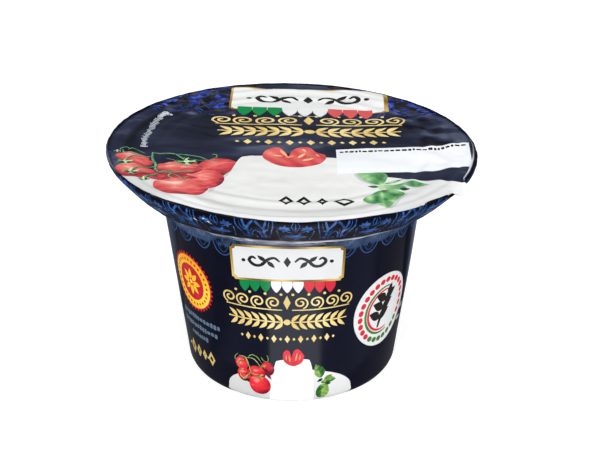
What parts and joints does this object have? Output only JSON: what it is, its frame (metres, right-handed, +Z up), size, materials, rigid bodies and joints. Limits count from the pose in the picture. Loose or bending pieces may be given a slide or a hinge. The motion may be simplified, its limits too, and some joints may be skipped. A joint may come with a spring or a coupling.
{
  "type": "sealed pot of ricotta",
  "caption": "Shut plastic pot of fresh soft cheese with a wide rim, a printed peel-off lid and a dark shrink sleeve that tapers to a round foot.",
  "frame": {"origin": "middle of the foot, on the surface that the pot stands on", "axes": "+Z up along the pot's axis; -Y is the front of the printed sleeve; the rim is slightly lower towards +X"},
  "size_m": [0.095, 0.095, 0.0622],
  "materials": {
    "pot_plastic": "smooth white moulded plastic",
    "sleeve_film": "glossy printed shrink film, near-black navy with blue ornament",
    "lid_film": "satin-gloss printed lid film, navy and white, slightly wrinkled"
  },
  "bodies": {
    "root": {"pot": "pot_plastic", "sleeve": "sleeve_film", "lid": "lid_film"}
  },
  "joints": []
}
